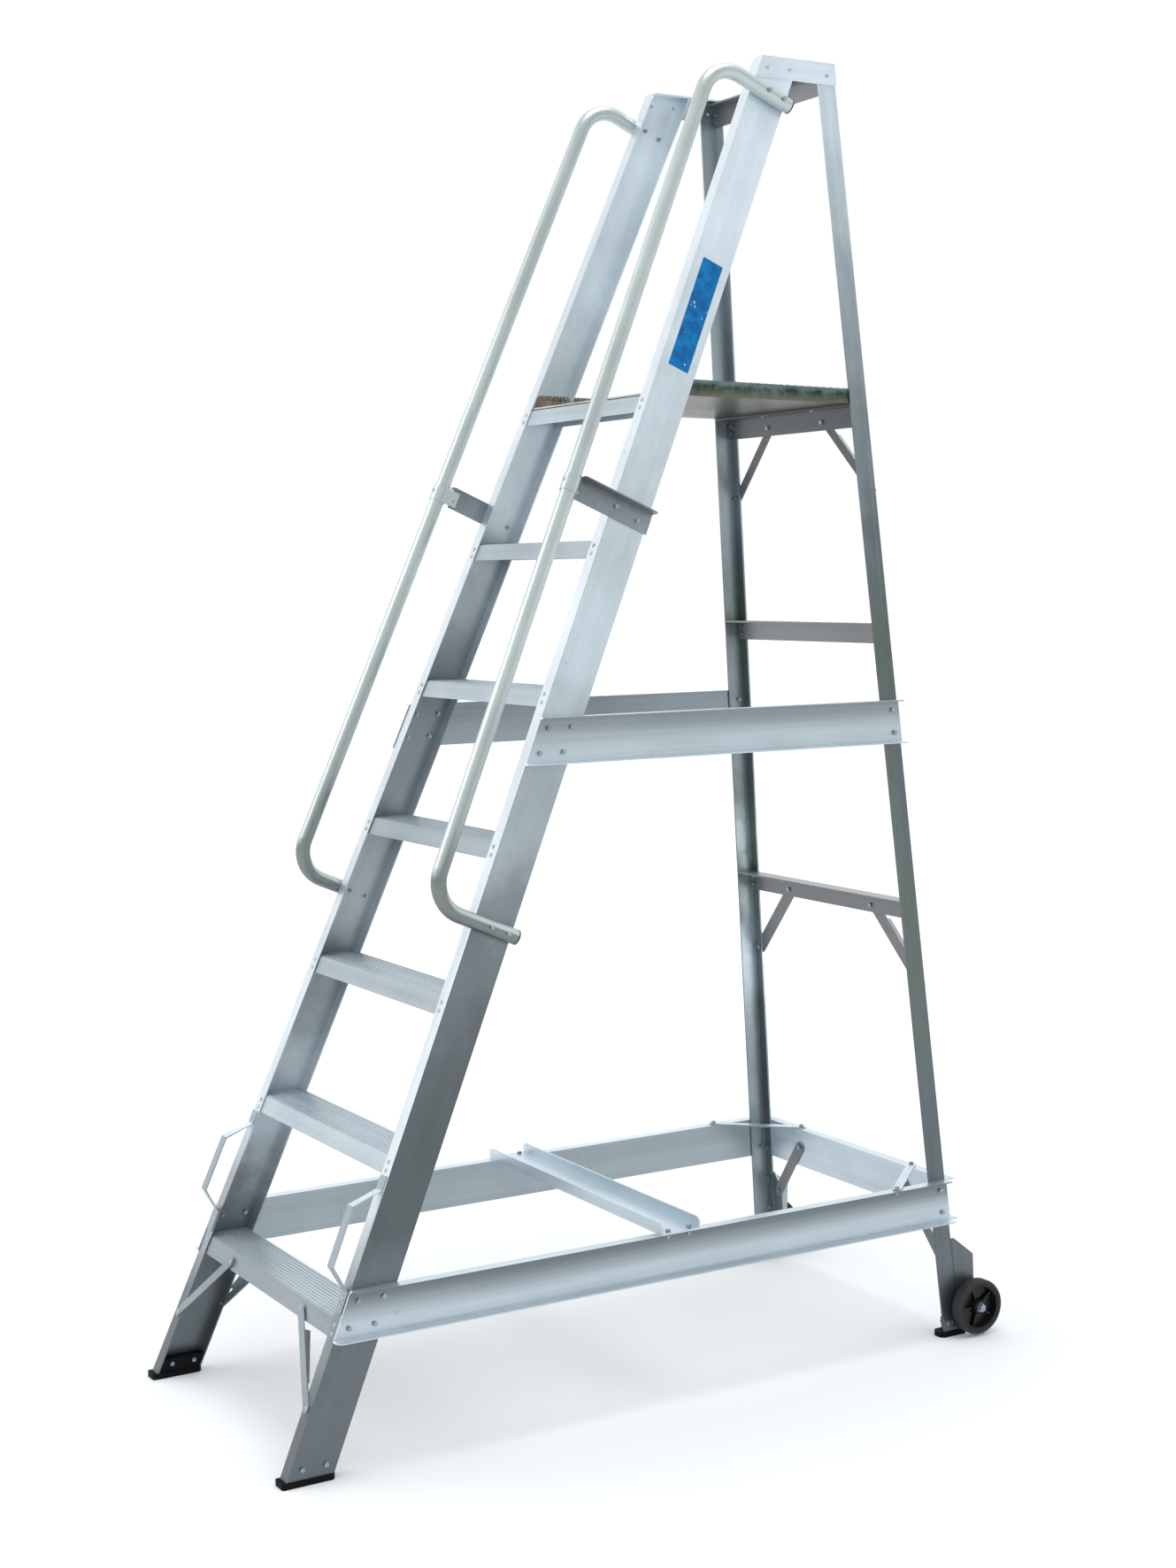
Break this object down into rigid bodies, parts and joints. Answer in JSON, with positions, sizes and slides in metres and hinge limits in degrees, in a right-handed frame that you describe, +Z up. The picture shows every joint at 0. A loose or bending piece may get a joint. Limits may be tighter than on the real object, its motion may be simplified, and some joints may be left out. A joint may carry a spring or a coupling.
{
  "type": "rolling warehouse ladder",
  "caption": "Mobile aluminium ladder with ribbed treads up to a railed platform, braced rear legs, side handrails and wheels for tilting and rolling.",
  "frame": {"origin": "on the floor under the middle of the ladder's bounding box", "axes": "+Z up, the climbing side faces -Y and the wheels are at +Y, +X is the climber's right"},
  "size_m": [0.836, 1.7526, 2.823],
  "materials": {
    "frame_aluminium": "mill finish, drawn",
    "leg_aluminium": "mill finish, drawn",
    "tread_aluminium": "ribbed, mill finish",
    "deck_aluminium": "chequer plate",
    "tube_aluminium": "satin",
    "zinc_steel": "zinc plated",
    "rivet_steel": "bright",
    "foot_rubber": "matt",
    "tyre_rubber": "matt",
    "hub_plastic": "moulded",
    "bush_steel": "ground",
    "plug_plastic": "moulded",
    "label_blue": "printed sheet"
  },
  "bodies": {
    "frame": {"axle_nuts": "zinc_steel", "axle_spacers": "zinc_steel", "base_bolts": "zinc_steel", "base_cross_channel": "frame_aluminium", "base_knees": "frame_aluminium", "corner_plates": "frame_aluminium", "foot_bolts": "zinc_steel", "handrail_bolts": "zinc_steel", "handrail_brackets": "frame_aluminium", "handrail_plugs": "plug_plastic", "left_axle_bolt": "zinc_steel", "left_carry_handle": "frame_aluminium", "left_front_foot": "foot_rubber", "left_handrail": "tube_aluminium", "left_rear_foot": "foot_rubber", "left_rear_leg": "leg_aluminium", "left_side_rail_lower": "frame_aluminium", "left_side_rail_mid": "frame_aluminium", "left_stile": "frame_aluminium", "left_top_side_angle": "frame_aluminium", "left_wheel_bracket": "leg_aluminium", "leg_bolts": "zinc_steel", "leg_cross_rail_lower": "leg_aluminium", "leg_cross_rail_upper": "leg_aluminium", "leg_knees": "leg_aluminium", "platform_deck": "deck_aluminium", "platform_front_beam": "tread_aluminium", "platform_knees": "frame_aluminium", "platform_rear_rail": "frame_aluminium", "rail_bolts": "zinc_steel", "rear_rail_lower": "frame_aluminium", "right_axle_bolt": "zinc_steel", "right_carry_handle": "frame_aluminium", "right_front_foot": "foot_rubber", "right_handrail": "tube_aluminium", "right_rear_foot": "foot_rubber", "right_rear_leg": "leg_aluminium", "right_side_rail_lower": "frame_aluminium", "right_side_rail_mid": "frame_aluminium", "right_stile": "frame_aluminium", "right_top_side_angle": "frame_aluminium", "right_wheel_bracket": "leg_aluminium", "rivets": "rivet_steel", "stile_label": "label_blue", "top_rear_rail": "leg_aluminium", "tread_1": "tread_aluminium", "tread_2": "tread_aluminium", "tread_3": "tread_aluminium", "tread_4": "tread_aluminium", "tread_5": "tread_aluminium", "tread_6": "tread_aluminium", "tread_knees": "tread_aluminium", "tube_clamps": "frame_aluminium"},
    "wheel_right": {"right_wheel_tyre": "tyre_rubber", "right_wheel_hub": "hub_plastic", "right_wheel_bush": "bush_steel"},
    "wheel_left": {"left_wheel_tyre": "tyre_rubber", "left_wheel_hub": "hub_plastic", "left_wheel_bush": "bush_steel"}
  },
  "joints": [
    {"name": "right_wheel_spin", "type": "hinge", "parent": "frame", "child": "wheel_right", "pos_m": [0.396, 0.81375, 0.067], "axis": [1, 0, 0], "continuous": true},
    {"name": "left_wheel_spin", "type": "hinge", "parent": "frame", "child": "wheel_left", "pos_m": [-0.396, 0.81375, 0.067], "axis": [1, 0, 0], "continuous": true}
  ]
}
